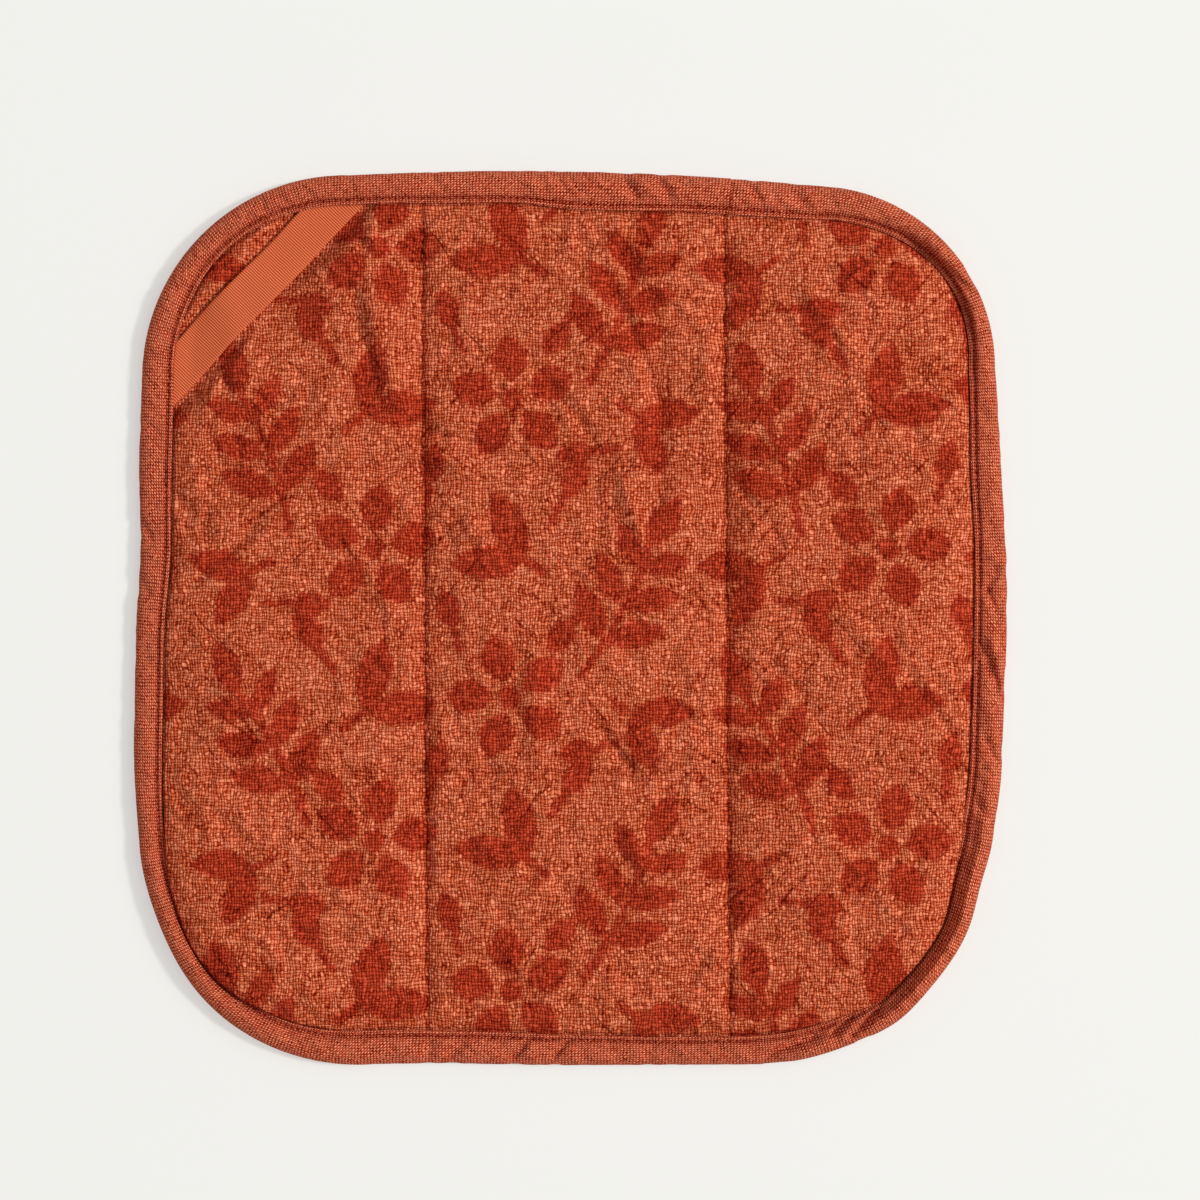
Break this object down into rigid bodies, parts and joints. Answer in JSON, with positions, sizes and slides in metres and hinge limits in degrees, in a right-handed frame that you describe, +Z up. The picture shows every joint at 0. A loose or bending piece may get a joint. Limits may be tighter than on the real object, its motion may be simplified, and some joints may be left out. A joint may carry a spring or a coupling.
{
  "type": "quilted pot holder",
  "caption": "Square quilted linen pot holder with round corners, bias-bound edge, sewn channels and a tape hanging loop across one corner.",
  "frame": {"origin": "middle of the outline, on the surface that the pot holder lies on", "axes": "+Z up out of the printed face, +Y along the slightly longer side, towards the side with the hanging loop, which crosses the -X +Y corner"},
  "size_m": [0.2058, 0.2108, 0.0105],
  "materials": {
    "printed_linen": "coarse plain-weave linen in terracotta with a darker tone-on-tone print, matt",
    "bias_binding": "fine plain-weave linen cut on the bias, terracotta, matt",
    "loop_tape": "fine ribbed tape in rust orange, slight sheen"
  },
  "bodies": {
    "root": {"quilted_pad": "printed_linen", "edge_binding": "bias_binding", "hanging_loop": "loop_tape"}
  },
  "joints": []
}
